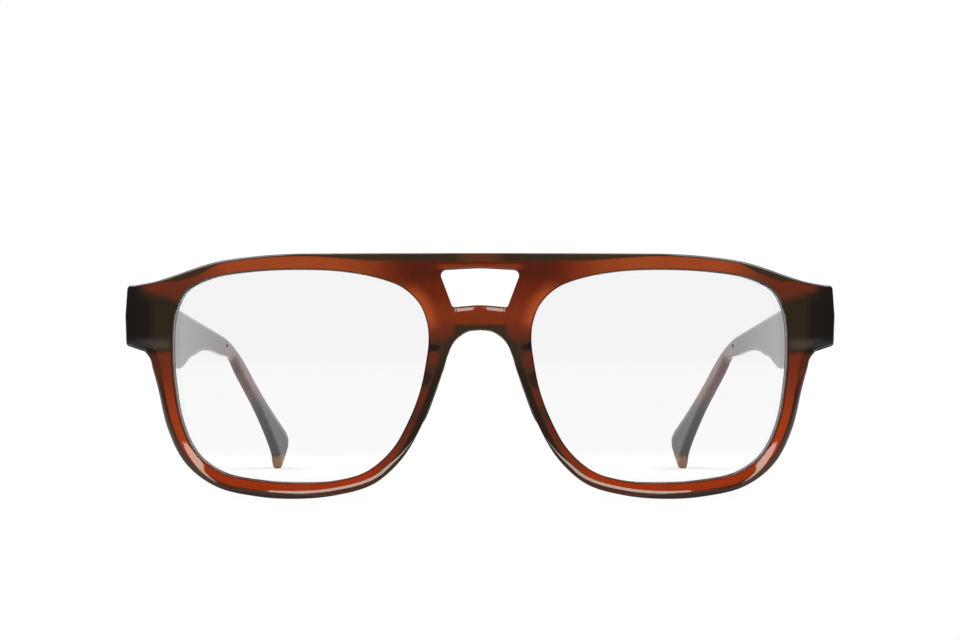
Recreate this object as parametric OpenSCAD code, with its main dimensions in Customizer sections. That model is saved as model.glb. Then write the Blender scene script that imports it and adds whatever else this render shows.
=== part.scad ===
// Full-rim acetate eyeglass frame with a double bridge, standing open on its rims and temple tips.
// Millimetres. X runs across the front, Y runs back along the temples, Z is up.

/* [Lenses] */
// Width of one lens, measured in its groove
lens_w = 54; // [48:0.5:58]
// Height of one lens, measured in its groove
lens_h = 44.2; // [38:0.5:48]
// Thickness of a lens away from its edge
lens_t = 1.9; // [1.4:0.1:2.2]
// Depth of the lens groove in the rim
groove_d = 0.7; // [0.4:0.05:0.9]
// Width of the lens groove
groove_w = 1.2; // [0.8:0.1:1.5]
// Clearance between a lens and its rim
lens_fit = 0.03; // [0.01:0.01:0.08]
// Turn of each lens opening about the vertical, to follow the curved front
eye_toe = 6; // [0:0.5:9]

/* [Front] */
// Distance between the two lenses
bridge_w = 19; // [15:0.5:23]
// Thickness of the front
front_t = 4.2; // [3.8:0.1:5]
// Radius of the front's curve about the vertical
front_r = 265; // [200:5:400]
// Height of the bottom rim
rim_bottom = 3.4; // [2.6:0.1:4.4]
// Height of the brow bar above a lens opening
rim_top = 3.2; // [2.6:0.1:4.4]
// Width of the rim at the temple side
rim_side = 3.4; // [3:0.1:4.5]
// Width of the rim beside the nose, low down
rim_nose = 2.7; // [2.3:0.1:3.2]
// Reach of an end piece past the lens opening
end_reach = 9.45; // [9:0.1:12]
// Height of an end piece
end_h = 12.4; // [11.5:0.1:14]
// Drop from the brow line to the top of an end piece
end_drop = 6.2; // [4.5:0.1:7.5]
// Radius of the end piece's outer corners
end_corner = 0.9; // [0.4:0.1:1.6]

/* [Bridge] */
// Height of the brow bar above the bridge window
bar_h = 2.9; // [2.4:0.1:4]
// Height of the bridge window
window_h = 7.4; // [5:0.1:9]
// Width of the bridge window at its top
window_top_w = 16.6; // [12:0.2:17.6]
// Width of the bridge window at its bottom
window_bottom_w = 11.0; // [8:0.2:12.4]
// Height of the lower bridge bar, from the window to the nose arch
lower_bar_h = 5.1; // [3.8:0.1:6]
// Half width of the nose opening just under its arch
nose_half_w = 6.4; // [5.4:0.1:7]

/* [Nose pads] */
// Drop from the nose arch to the middle of a nose pad
pad_drop = 12.6; // [11:0.2:14]
// Length of a nose pad
pad_l = 14; // [10:0.5:16]
// Width of a nose pad where it is bonded to the rim
pad_w = 2.3; // [1.8:0.1:2.6]
// Projection of a nose pad behind the front
pad_d = 4.6; // [3:0.1:6]
// Lean of a nose pad along the side of the nose, from upright
pad_lean = 20; // [14:1:24]
// How far a nose pad's ridge stands out from its foot
pad_splay = 0.5; // [0:0.1:1.2]

/* [Temples] */
// Thickness of a temple at its hinge
temple_t = 4.0; // [3.6:0.1:4.6]
// Thickness of a temple from its ear bend to its end
tip_t = 2.4; // [2.2:0.1:3.2]
// Height of a temple at its hinge
butt_h = 11.4; // [10:0.1:12.5]
// Greatest height of the broad part of a temple
broad_h = 13.1; // [11.6:0.1:14]
// Distance from the hinge to the end of the broad part
broad_l = 32; // [24:0.5:40]
// Length of the curve that narrows the broad part to the waist
step_l = 24; // [18:0.5:30]
// Height of a temple at its waist, along the bend
waist_h = 4.3; // [3.6:0.1:6]
// Height of the paddle before its tip
paddle_h = 6.5; // [5:0.1:8]
// Depth of the tip below the top edge of the paddle
tip_drop = 10; // [8:0.1:12]
// Distance from the hinge to the ear bend
bend_at = 85; // [75:1:95]
// Length of a temple from the ear bend to its end
ear_l = 48; // [40:1:58]
// Downward bend at the ear
ear_angle = 22.2; // [16:0.5:26]
// Radius of the ear bend along the top edge
bend_r = 70; // [40:5:80]
// Inward lean of an open temple, seen from above
taper = 6.8; // [4:0.2:8]
// How far a tip curls in past the straight line of its temple
tip_curl = 4.6; // [0:0.5:8]
// Gap between a temple's end and the front at the open stop
butt_gap = 0.15; // [0.1:0.05:0.3]
// Set-back of a temple's outer face from the end of the front
temple_inset = 0.15; // [0.15:0.05:0.5]

/* [Core wires] */
// Height of the flat core wire
wire_h = 2; // [1.4:0.1:2.4]
// Thickness of the flat core wire
wire_t = 1; // [0.7:0.1:1.2]
// Distance from the hinge to the start of the core wire
wire_start = 12; // [11:0.5:16]
// Distance from the end of the core wire to the end of the temple
wire_end = 12; // [10:0.5:20]
// Clearance of the core wire in its channel
wire_fit = 0.03; // [0.01:0.01:0.08]

/* [Hinges] */
// Height of a hinge, over its five knuckles
hinge_h = 8; // [7:0.1:9]
// Height of the hinge above the middle of an end piece
hinge_rise = 0.3; // [0:0.1:0.6]
// Radius of the hinge knuckles
barrel_r = 1.35; // [1.2:0.05:1.5]
// Gap from the knuckles to the face of the front and to the face of the temple
barrel_gap = 0.15; // [0.1:0.05:0.3]
// Gap between two knuckles
knuckle_gap = 0.08; // [0.05:0.01:0.15]
// Thickness of a hinge plate, sunk flush into the acetate
plate_t = 0.8; // [0.6:0.05:1]
// Length of the front hinge plate, inwards from the pin
front_plate_l = 3.4; // [2.6:0.1:3.6]
// Length of the temple hinge plate, back from the pin
temple_plate_l = 9; // [7:0.1:10]
// Depth of the anchor under a hinge plate
anchor_d = 0.8; // [0.5:0.05:1]
// Clearance of a hinge plate in its pocket
plate_fit = 0.03; // [0.01:0.01:0.08]
// Radius of the hinge screw's shank
screw_r = 0.7; // [0.55:0.05:0.8]
// Running clearance between the shank and its bore
screw_fit = 0.03; // [0.01:0.01:0.06]
// Radius of the screw head
head_r = 1.15; // [1:0.05:1.3]
// Height of the screw head
head_h = 0.55; // [0.4:0.05:0.8]

/* [Hidden] */

// Smoothness of the big curved faces and of the small round ones
front_fn = 720;
pin_fn = 48;
pad_fn = 20;
// Points drawn between two control points of a curve
curve_steps = 4;
// How far one solid of a hinge runs into the next, and how far a pocket is cut past the face it opens in
web_sink = 0.1;
mouth = 2;
// Stub of the screw below the last knuckle, and its slot
screw_stub = 0.3;
slot_w = 0.3;
// Straight foot of a nose pad, and the bond under it
foot_h = 0.5;
bond_gap = 0.02;
// More than any part of the model, used to cut right through
reach = 400;

// Lens opening, seen from the front
eye_w = lens_w - 2 * groove_d;
eye_h = lens_h - 2 * groove_d;
eye_in = bridge_w / 2 + groove_d;
eye_out = eye_in + eye_w;
eye_low = rim_bottom;
eye_high = eye_low + eye_h;
eye_mid = (eye_in + eye_out) / 2;

// Heights and half width of the front
top = eye_high + rim_top;
half_w = eye_out + end_reach;
end_top = top - end_drop;
end_low = end_top - end_h;
window_low = top - bar_h - window_h;
arch_z = window_low - lower_bar_h;
back_r = front_r - front_t;

// Hinge axis: its knuckles clear the back of the front and the inside of the temple
pin_off = barrel_r + barrel_gap;
hinge_x = half_w - temple_inset - (temple_t + pin_off) / cos(taper);
hinge_turn = asin(hinge_x / (back_r - pin_off));
hinge_y = front_r - (back_r - pin_off) * cos(hinge_turn);
hinge_z = (end_top + end_low) / 2 + hinge_rise;
knuckle_h = (hinge_h - 4 * knuckle_gap) / 5;

// Points on a smooth curve through a list of control points, evenly shaped however far apart these lie
function unit(v) = v / norm(v);
function span(a, b) = sqrt(norm(b - a));
function slope(a, b, c) =
    let (p = span(a, b), q = span(b, c))
    (b - a) / p + (c - b) / q - (c - a) / (p + q);
function blend(a, b, c, d, t) =
    let (q = span(b, c), m = q * slope(a, b, c), w = q * slope(b, c, d))
    (2 * pow(t, 3) - 3 * pow(t, 2) + 1) * b + (pow(t, 3) - 2 * pow(t, 2) + t) * m
        + (3 * pow(t, 2) - 2 * pow(t, 3)) * c + (pow(t, 3) - pow(t, 2)) * w;
function closed_curve(p) =
    let (n = len(p))
    [for (i = [0 : n - 1], k = [0 : curve_steps - 1])
        blend(p[(i + n - 1) % n], p[i], p[(i + 1) % n], p[(i + 2) % n], k / curve_steps)];
function open_curve(p) =
    let (n = len(p), q = concat([2 * p[0] - p[1]], p, [2 * p[n - 1] - p[n - 2]]))
    concat([for (i = [1 : n - 1], k = [0 : curve_steps - 1])
        blend(q[i - 1], q[i], q[i + 1], q[i + 2], k / curve_steps)], [p[n - 1]]);

// A polygon's corner as an arc: corner point, the points before and after it, and the radius
function corner(a, p, b, r, steps = 6) =
    let (u = unit(a - p), w = unit(b - p), half = acos(u * w) / 2,
         centre = p + unit(u + w) * r / sin(half),
         start = p + u * r / tan(half) - centre,
         sweep = (180 - 2 * half) * sign(start[0] * (p - a)[1] - start[1] * (p - a)[0]))
    [for (k = [0 : steps]) let (q = sweep * k / steps)
        centre + [start[0] * cos(q) - start[1] * sin(q), start[0] * sin(q) + start[1] * cos(q)]];
// A closed outline from rows of x, y and corner radius
function rounded(v) =
    let (n = len(v), xy = [for (q = v) [q[0], q[1]]])
    [for (i = [0 : n - 1]) each corner(xy[(i + n - 1) % n], xy[i], xy[(i + 1) % n], v[i][2])];

// An anticlockwise outline moved outwards along its own normals
function grown(p, d) =
    let (n = len(p))
    [for (i = [0 : n - 1]) let (t = unit(p[(i + 1) % n] - p[(i + n - 1) % n])) p[i] + d * [t[1], -t[0]]];

// Shape of a lens opening as shares of its width from the nose and of its height from below
eye_shape = [[0, 0.67], [0.008, 0.58], [0.033, 0.43], [0.077, 0.29], [0.14, 0.157], [0.235, 0.057],
             [0.36, 0.01], [0.51, 0], [0.66, 0.01], [0.8, 0.045], [0.9, 0.13], [0.96, 0.27],
             [0.99, 0.45], [1, 0.64], [0.988, 0.8], [0.945, 0.9], [0.85, 0.96], [0.7, 0.99],
             [0.52, 1], [0.35, 0.992], [0.2, 0.96], [0.1, 0.914], [0.036, 0.84], [0.006, 0.75]];
function eye_point(s) = [eye_in + s[0] * eye_w, eye_low + s[1] * eye_h];
eye_line = closed_curve([for (s = eye_shape) eye_point(s)]);

// Rim widths at the control points that the lower rim follows, from the nose round to the temple side
rim_first = 3;
rim_corner = min(rim_bottom, rim_side) - 0.4;
rim_widths = [rim_nose, rim_nose, (rim_nose + rim_bottom) / 2 - 0.1, rim_bottom - 0.45, rim_bottom - 0.1,
              rim_bottom - 0.1, rim_bottom - 0.3, rim_corner, rim_corner, rim_side - 0.15];
eye_control = [for (s = eye_shape) eye_point(s)];
rim_control = [for (i = [0 : len(rim_widths) - 1])
    grown(eye_control, rim_widths[i])[rim_first + i]];

// Outline of one half of the front, from the middle of the nose arch to the middle of the brow
nose_line = [[0, arch_z], [nose_half_w - 3.9, arch_z - 0.35], [nose_half_w - 1.3, arch_z - 2.3],
             [nose_half_w, arch_z - 5], [eye_in - 2.9, arch_z - 8], [eye_in - 0.9, arch_z - 13.2]];
under_end = [[eye_out + rim_side + 0.35, end_low - 4.5], [eye_out + rim_side + 0.8, end_low - 2.6],
             [eye_out + rim_side + 1.9, end_low - 1.1]];
brow_line = [[half_w - 2, end_top], [eye_out + 3.4, end_top + 0.7], [eye_out + 0.8, end_top + 1.45],
             [eye_out - 1.7, end_top + 2.25], [eye_out - 4.3, top - 3.05], [eye_out - 9.3, top - 1.6],
             [eye_out - 16.6, top - 0.55], [eye_out - 24, top - 0.05], [eye_out - 30, top]];
half_line = concat(
    open_curve(concat(nose_line, rim_control, under_end)),
    corner(under_end[2], [half_w - 0.2, end_low + 0.15], [half_w, (end_low + end_top) / 2], end_corner),
    [[half_w, (end_low + end_top) / 2]],
    corner([half_w, (end_low + end_top) / 2], [half_w - 0.45, end_top], [half_w - 2, end_top], end_corner),
    open_curve(brow_line),
    [[0, top]]);
front_line = concat(half_line, [for (i = [len(half_line) - 2 : -1 : 1]) [-half_line[i][0], half_line[i][1]]]);

// Bridge window, narrower below, with a gently arched top and a crowned bottom
window_line = rounded([
    [-window_top_w / 2, top - bar_h - 0.45, 1.1], [-window_bottom_w / 2, window_low - 0.5, 0.6],
    [0, window_low, 20], [window_bottom_w / 2, window_low - 0.5, 0.6],
    [window_top_w / 2, top - bar_h - 0.45, 1.1], [0, top - bar_h, 30]]);

// Side of a temple in its own frame: distance back from the pin, height above the pin
shaft_top = butt_h / 2 - 0.4;
function ear(u, v) = [bend_at, shaft_top] + u * [cos(ear_angle), -sin(ear_angle)]
    + v * [sin(ear_angle), cos(ear_angle)];
bend_cut = bend_r * tan(ear_angle / 2);
paddle_tip = ear(ear_l * 0.965, -tip_drop);
broad_end = broad_l + step_l;
temple_side = concat(
    [[-6, shaft_top]],
    corner([0, shaft_top], [bend_at, shaft_top], ear(ear_l, 0), bend_r, 14),
    open_curve([ear(ear_l * 0.93, 0), ear(ear_l * 0.98, -0.9), ear(ear_l, -tip_drop * 0.28),
                ear(ear_l * 0.995, -tip_drop * 0.52), ear(ear_l * 0.985, -tip_drop * 0.76), paddle_tip,
                ear(ear_l * 0.935, -tip_drop * 0.94), ear(ear_l * 0.9, -paddle_h * 1.23),
                ear(ear_l * 0.81, -paddle_h), ear(ear_l * 0.68, -paddle_h * 0.4 - waist_h * 0.6),
                ear(ear_l * 0.54, -waist_h), ear(ear_l * 0.38, -waist_h + 0.3),
                ear(ear_l * 0.17, -waist_h + 0.2), ear(0, -waist_h), [bend_at - 11, shaft_top - waist_h],
                [broad_end + 11, shaft_top - waist_h - 0.25], [broad_end + 4, shaft_top - waist_h - 0.7],
                [broad_end - step_l * 0.22, shaft_top - waist_h - 2.05],
                [broad_end - step_l * 0.44, shaft_top - waist_h - 3.55],
                [broad_end - step_l * 0.7, shaft_top - broad_h + 3.5],
                [broad_end - step_l * 0.88, shaft_top - broad_h + 1.5],
                [broad_l, shaft_top - broad_h + 0.5], [broad_l - 4, shaft_top - broad_h + 0.12],
                [broad_l - 8, shaft_top - broad_h], [broad_l * 0.36, shaft_top - butt_h - 0.15]]),
    [[0, shaft_top - butt_h], [-6, shaft_top - butt_h]]);

// The standing frame leans its temples down until the tips touch what it stands on
function lean_for(p) = atan2(p[1], p[0]) + asin(hinge_z / norm(p));
function leaned(p, q) = [p[0] * cos(q) + p[1] * sin(q), p[1] * cos(q) - p[0] * sin(q)];
lean_first = lean_for(paddle_tip);
low_heights = [for (p = temple_side) leaned(p, lean_first)[1]];
low_point = [for (i = [0 : len(temple_side) - 1]) if (low_heights[i] == min(low_heights)) temple_side[i]][0];
lean = lean_for(low_point);
temple_back = max([for (p = temple_side) leaned(p, lean)[0]]);

// Plan of a temple: inward offset and thickness at a distance back from the pin
curl_from = bend_at - 8;
function inward(y) = y * tan(taper) + tip_curl * pow(max(0, y - curl_from) / (temple_back - curl_from), 2);
function inner_x(y) = hinge_x + pin_off / cos(taper) - inward(y);
function thickness(y) = (temple_t + (tip_t - temple_t) * min(1, max(0, y) / curl_from)) / cos(taper);
plan_steps = [for (k = [0 : 12]) curl_from + (temple_back + 4 - curl_from) * k / 12];
function butt_y(x) = front_r - sqrt(back_r * back_r - x * x) + butt_gap - hinge_y;
butt_out = butt_y(inner_x(0) + thickness(0));
butt_in = butt_y(inner_x(0));

// The whole model is centred on its depth
depth = hinge_y + temple_back;

module mirrored(side) {
    mirror([side < 0 ? 1 : 0, 0, 0]) children();
}

// Places what is drawn with its front at Y = 0 into the part's own frame
module placed(side = 1) {
    translate([0, -depth / 2, 0]) mirrored(side) children();
}

// A slab that follows the front's curve, from one radius to another
module shell(outer, inner) {
    translate([0, front_r, -1]) difference() {
        cylinder(h = top + 2, r = outer, $fn = front_fn);
        translate([0, 0, -1]) cylinder(h = top + 4, r = inner, $fn = front_fn);
    }
}

// An outline seen from the front, drawn through the whole depth
module through(line) {
    translate([0, reach / 2, 0]) rotate([90, 0, 0]) linear_extrude(reach) polygon(line);
}

// The same for a lens opening, turned to follow the front's curve
module through_eye(line) {
    turn_y = front_r - sqrt(front_r * front_r - eye_mid * eye_mid);
    translate([eye_mid, turn_y, 0]) rotate([0, 0, eye_toe]) translate([-eye_mid, 0, 0])
        translate([0, front_t * 3, 0]) rotate([90, 0, 0]) linear_extrude(front_t * 6) polygon(line);
}

module at_pin(turn) {
    translate([hinge_x, hinge_y, hinge_z]) rotate([0, 0, turn]) children();
}

// Knuckles with their webs, from the pin to the hinge plate in the direction given
module knuckles(first, web_from, web_to) {
    for (k = [first : 2 : 4])
        translate([0, 0, -hinge_h / 2 + k * (knuckle_h + knuckle_gap)]) {
            cylinder(h = knuckle_h, r = barrel_r, $fn = pin_fn);
            translate([web_from[0], web_from[1], 0])
                cube([web_to[0] - web_from[0], web_to[1] - web_from[1], knuckle_h]);
        }
}

module pin_bore() {
    translate([0, 0, -hinge_h]) cylinder(h = hinge_h * 2, r = screw_r + screw_fit, $fn = pin_fn);
}

// Plates and anchors, larger by the fit where they are cut from the acetate
module front_plate(fit) {
    open_face = fit > 0 ? mouth : 0;
    translate([-front_plate_l - fit, -pin_off - plate_t - fit, -hinge_h / 2 - fit])
        cube([front_plate_l + barrel_r + 2 * fit, plate_t + fit + open_face, hinge_h + 2 * fit]);
    translate([-front_plate_l * 0.7 - fit, -pin_off - plate_t - anchor_d - fit, -hinge_h / 5 - fit])
        cube([front_plate_l * 0.8 + 2 * fit, anchor_d + web_sink, hinge_h * 0.4 + 2 * fit]);
}

module temple_plate(fit) {
    open_face = fit > 0 ? mouth : 0;
    translate([pin_off - open_face, -fit, -hinge_h / 2 - fit])
        cube([plate_t + fit + open_face, temple_plate_l + 2 * fit, hinge_h + 2 * fit]);
    translate([pin_off + plate_t - web_sink, temple_plate_l * 0.45 - fit, -hinge_h / 5 - fit])
        cube([anchor_d + web_sink + fit, temple_plate_l * 0.4 + 2 * fit, hinge_h * 0.4 + 2 * fit]);
}

module front() {
    color("#7a2f16") placed() difference() {
        intersection() {
            through(front_line);
            shell(front_r, back_r);
        }
        through(window_line);
        for (side = [1, -1]) mirrored(side) {
            through_eye(eye_line);
            intersection() {
                through_eye(grown(eye_line, groove_d));
                shell(front_r - front_t / 2 + groove_w / 2, front_r - front_t / 2 - groove_w / 2);
            }
            at_pin(hinge_turn) front_plate(plate_fit);
        }
    }
}

// A pad bonded to the back of the rim beside the nose, its foot flat against it
module nose_pad(side) {
    foot_r = pad_w / 2;
    ridge_r = pad_w * 0.36;
    foot_x = eye_in + 0.1;
    foot_turn = asin(foot_x / back_r);
    color("#8a3a1c") placed(side) translate([foot_x, front_r - back_r * cos(foot_turn), arch_z - pad_drop])
        rotate([0, 0, foot_turn]) translate([0, bond_gap, 0]) rotate([0, -pad_lean, 0]) hull() {
            for (end = [1, -1])
                translate([0, 0, end * (pad_l / 2 - foot_r)]) rotate([-90, 0, 0])
                    cylinder(h = foot_h, r = foot_r, $fn = pad_fn);
            for (z = [0.16, -0.26])
                translate([pad_splay, pad_d - ridge_r, pad_l * z]) sphere(r = ridge_r, $fn = pad_fn);
        }
}

module lens(side) {
    mid = front_r - front_t / 2;
    color("#e8eef0", 0.4) placed(side) {
        intersection() {
            through_eye(grown(eye_line, groove_d - lens_fit));
            shell(mid + groove_w / 2 - lens_fit, mid - groove_w / 2 + lens_fit);
        }
        intersection() {
            through_eye(grown(eye_line, -lens_fit));
            shell(mid + lens_t / 2, mid - lens_t / 2);
        }
    }
}

// What a line in a temple's side view sweeps across the temple's whole width
module temple_slab(line) {
    translate([half_w - reach / 4, hinge_y, hinge_z]) rotate([-lean, 0, 0])
        rotate([90, 0, 90]) linear_extrude(reach / 2) polygon(line);
}

// What a band of the temple's thickness looks like from above
module temple_plan(line) {
    translate([0, 0, -reach / 8]) linear_extrude(reach / 4) polygon(line);
}

// Flat wire: its path in the side view, and its band in the plan
wire_path = open_curve([[wire_start, shaft_top - butt_h * 0.42], [broad_l, shaft_top - butt_h * 0.38],
    [broad_l + step_l * 0.6, shaft_top - waist_h * 0.72], [bend_at - 14, shaft_top - waist_h * 0.5],
    [bend_at - 2, shaft_top - waist_h * 0.5 - 0.5], ear(10, -waist_h * 0.5),
    ear(ear_l * 0.5, -waist_h * 0.54), ear(ear_l - wire_end, -paddle_h * 0.55)]);
function wire_side(fit) =
    let (p = wire_path, n = len(p), w = wire_h / 2 + fit,
         t = [for (i = [0 : n - 1]) unit(p[min(i + 1, n - 1)] - p[max(i - 1, 0)])],
         past = [for (i = [0 : n - 1]) i == 0 ? -fit : i == n - 1 ? fit : 0])
    concat([for (i = [0 : n - 1]) p[i] + w * [t[i][1], -t[i][0]] + past[i] * t[i]],
           [for (i = [n - 1 : -1 : 0]) p[i] - w * [t[i][1], -t[i][0]] + past[i] * t[i]]);
function band_plan(low, high) =
    let (v = concat([0], plan_steps))
    concat([for (y = v) [inner_x(y) + thickness(y) / 2 + high, hinge_y + y]],
           [for (i = [len(v) - 1 : -1 : 0]) [inner_x(v[i]) + thickness(v[i]) / 2 + low, hinge_y + v[i]]]);

module core_wire_solid(fit) {
    intersection() {
        temple_slab(wire_side(fit));
        temple_plan(band_plan(-wire_t / 2 - fit, wire_t / 2 + fit));
    }
}

module temple(side) {
    plan = concat([[inner_x(butt_out) + thickness(butt_out), hinge_y + butt_out]],
                  [for (y = plan_steps) [inner_x(y) + thickness(y), hinge_y + y]],
                  [for (i = [len(plan_steps) - 1 : -1 : 0])
                      [inner_x(plan_steps[i]), hinge_y + plan_steps[i]]],
                  [[inner_x(butt_in), hinge_y + butt_in]]);
    color("#5a2a18") placed(side) difference() {
        intersection() {
            temple_slab(temple_side);
            temple_plan(plan);
        }
        at_pin(taper) temple_plate(plate_fit);
        core_wire_solid(wire_fit);
    }
}

module core_wire(side) {
    color("#b9bcc0") placed(side) core_wire_solid(0);
}

module hinge_front(side) {
    color("#c9b27a") placed(side) at_pin(hinge_turn) difference() {
        union() {
            knuckles(0, [-barrel_r, -pin_off - web_sink], [barrel_r * 0.6, 0]);
            front_plate(0);
        }
        pin_bore();
    }
}

module hinge_temple(side) {
    color("#c9b27a") placed(side) at_pin(taper) difference() {
        union() {
            knuckles(1, [0, 0], [pin_off + web_sink, barrel_r]);
            temple_plate(0);
        }
        pin_bore();
    }
}

module hinge_screw(side) {
    color("#a8a8a4") placed(side) at_pin(0) difference() {
        union() {
            translate([0, 0, -hinge_h / 2 - screw_stub])
                cylinder(h = hinge_h + screw_stub + web_sink, r = screw_r, $fn = pin_fn);
            translate([0, 0, hinge_h / 2]) cylinder(h = head_h, r = head_r, $fn = pin_fn);
        }
        translate([-mouth, -slot_w / 2, (hinge_h + head_h) / 2]) cube([mouth * 2, slot_w, head_h]);
    }
}

front();
nose_pad(-1);  // nose_pad_right
nose_pad(1);  // nose_pad_left
lens(-1);  // lens_right
lens(1);  // lens_left
temple(-1);  // temple_right
temple(1);  // temple_left
core_wire(-1);  // core_wire_right
core_wire(1);  // core_wire_left
hinge_front(-1);  // hinge_front_right
hinge_front(1);  // hinge_front_left
hinge_temple(-1);  // hinge_temple_right
hinge_temple(1);  // hinge_temple_left
hinge_screw(-1);  // hinge_screw_right
hinge_screw(1);  // hinge_screw_left
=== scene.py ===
"""Acetate eyeglass frame with a double bridge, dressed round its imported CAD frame.

Outlines are worked in millimetres, as in the part's source, and every mesh is written in metres.
"""

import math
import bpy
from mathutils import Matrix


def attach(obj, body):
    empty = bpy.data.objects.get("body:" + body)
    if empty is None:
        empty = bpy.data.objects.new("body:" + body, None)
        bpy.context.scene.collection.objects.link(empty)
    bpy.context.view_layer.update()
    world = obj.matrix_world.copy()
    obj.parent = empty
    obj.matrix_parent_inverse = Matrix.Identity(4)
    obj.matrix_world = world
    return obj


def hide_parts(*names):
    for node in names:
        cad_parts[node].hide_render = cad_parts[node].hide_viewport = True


bl_info = {
    "name": "Acetate Eyeglass Frame",
    "version": (1, 0, 0),
    "blender": (4, 5, 0),
    "location": "View3D > Sidebar > Eyewear",
    "description": "Builds a polished acetate frame with its lenses, hinges and studio",
    "category": "Object",
}

import bmesh
import bpy
import numpy as np
from mathutils import Vector
from mathutils.geometry import delaunay_2d_cdt

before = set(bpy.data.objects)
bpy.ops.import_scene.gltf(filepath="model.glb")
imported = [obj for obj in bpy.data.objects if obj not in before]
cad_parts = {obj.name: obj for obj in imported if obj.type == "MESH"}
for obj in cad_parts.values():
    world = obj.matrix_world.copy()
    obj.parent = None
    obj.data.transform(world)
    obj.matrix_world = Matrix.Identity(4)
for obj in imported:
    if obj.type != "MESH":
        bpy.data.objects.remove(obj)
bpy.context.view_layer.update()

MM = 0.001
SIDES = {"right": -1, "left": 1}

# Lenses and front, in millimetres
LENS_W, LENS_H, LENS_T = 54.0, 44.2, 1.9
GROOVE_D, GROOVE_W, LENS_FIT = 0.7, 1.2, 0.03
EYE_TOE = math.radians(6)
BRIDGE_W, FRONT_T, FRONT_R = 19.0, 4.2, 265.0
RIM_BOTTOM, RIM_TOP, RIM_SIDE, RIM_NOSE = 3.4, 3.2, 3.4, 2.7
END_REACH, END_H, END_DROP, END_CORNER = 9.45, 12.4, 6.2, 0.9
BAR_H, WINDOW_H, WINDOW_TOP_W, WINDOW_BOTTOM_W = 2.9, 7.4, 16.6, 11.0
LOWER_BAR_H, NOSE_HALF_W = 5.1, 6.4
PAD_DROP, PAD_L, PAD_W, PAD_D, PAD_SPLAY = 12.6, 14.0, 2.3, 4.6, 0.5
PAD_FOOT, PAD_FLARE, PAD_LEAN = 0.55, 0.12, math.radians(20)

# Temples and hinges, in millimetres
TEMPLE_T, TIP_T, BUTT_H, BROAD_H, BROAD_L, STEP_L = 4.0, 2.4, 11.4, 13.1, 32.0, 24.0
WAIST_H, PADDLE_H, TIP_DROP, BEND_AT, EAR_L, BEND_R = 4.3, 6.5, 10.0, 85.0, 48.0, 70.0
EAR_ANGLE, TAPER = math.radians(22.2), math.radians(6.8)
TIP_CURL, BUTT_GAP, TEMPLE_INSET = 4.6, 0.15, 0.15
HINGE_H, BARREL_R, BARREL_GAP, HINGE_RISE = 8.0, 1.35, 0.15, 0.3
PLATE_T, FRONT_PLATE_L, TEMPLE_PLATE_L, PLATE_FIT = 0.8, 3.4, 9.0, 0.03

EYE_W, EYE_H = LENS_W - 2 * GROOVE_D, LENS_H - 2 * GROOVE_D
EYE_IN = BRIDGE_W / 2 + GROOVE_D
EYE_OUT = EYE_IN + EYE_W
EYE_MID = (EYE_IN + EYE_OUT) / 2
EYE_LOW = RIM_BOTTOM
TOP = EYE_LOW + EYE_H + RIM_TOP
HALF_W = EYE_OUT + END_REACH
END_TOP = TOP - END_DROP
END_LOW = END_TOP - END_H
WINDOW_LOW = TOP - BAR_H - WINDOW_H
ARCH_Z = WINDOW_LOW - LOWER_BAR_H
BACK_R = FRONT_R - FRONT_T
MID_R = FRONT_R - FRONT_T / 2

PIN_OFF = BARREL_R + BARREL_GAP
HINGE_X = HALF_W - TEMPLE_INSET - (TEMPLE_T + PIN_OFF) / math.cos(TAPER)
HINGE_TURN = math.asin(HINGE_X / (BACK_R - PIN_OFF))
HINGE_Y = FRONT_R - (BACK_R - PIN_OFF) * math.cos(HINGE_TURN)
HINGE_Z = (END_TOP + END_LOW) / 2 + HINGE_RISE

# Height of a temple's straight upper edge above the pin
SHAFT_TOP = BUTT_H / 2 - 0.4
# How far a temple's straights are drawn ahead of the pin, before they are cut off at the butt
RUN_ON = 6.0
# Distance behind the pin from which a temple curls inwards
CURL_FROM = BEND_AT - 8
# Rounding of a temple at its butt, and half the flat left between the roundings of its thin end
BUTT_ROUND, EDGE_FLAT = 0.3, 0.12

# How much wider the lower rims roll along their bottoms, and the back's share of a rounding
BOTTOM_ROLL, BACK_SHARE = 1.1, 0.6
# Depth of the front's outer rounding as a share of its width, for three widths
ROLL_WIDTHS, ROLL_DEPTHS = (0.6, 1.5, 2.6), (1.0, 0.6, 0.45)

# Bevel under the bridge window: its slope, and where across the front it starts to fade and ends
SILL_SLOPE, SILL_FADE, SILL_END = 0.49, 4.9, 5.8
# Rows of points down the bevel, as shares of its width, their spacing and how far out they go
SILL_ROWS, SILL_PITCH, SILL_REACH = (0, 0.25, 0.5, 0.75, 0.97, 1.06, 1.3), 0.25, 6.0
# Lip where the bevel meets the window: its slope, and its width in roundings of an opening
LIP_SLOPE, LIP_WIDTH = 0.5, 1.1
# Width of the crown on the lower corners of the front
CROWN_W = RIM_SIDE + 2.6

# Points of a smooth curve for each of its control points, and of a rounded corner
CURVE_STEPS, CORNER_STEPS = 8, 8
# Rings of points across an edge's rounding, and how far on the flat beside it the last one lies
ROUND_STEPS, FLAT_RING = 9, 0.3
# A ring keeps this clear of other edges, and is broken where its points lie farther apart
RING_CLEAR, RING_BREAK = 0.12, 2.5
# A ring's point goes where its own edge comes nearer than this share of the ring's distance
RING_TRUE = 0.97
# The field's rows and its distance from roundings as shares of its grid, and from extra points
FIELD_ROW, FIELD_CLEAR, EXTRA_CLEAR = 0.87, 0.4, 0.5
# Value of an edge distance where there is no edge near
FAR = 9.0
# Share of an edge's fall that is an even roll, and how tightly the rest turns at the very edge
EVEN_ROLL, TIGHT_TURN = 0.5, 6


# ---- Curves in the plane


def unit(v):
    return v / np.linalg.norm(v)


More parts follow.
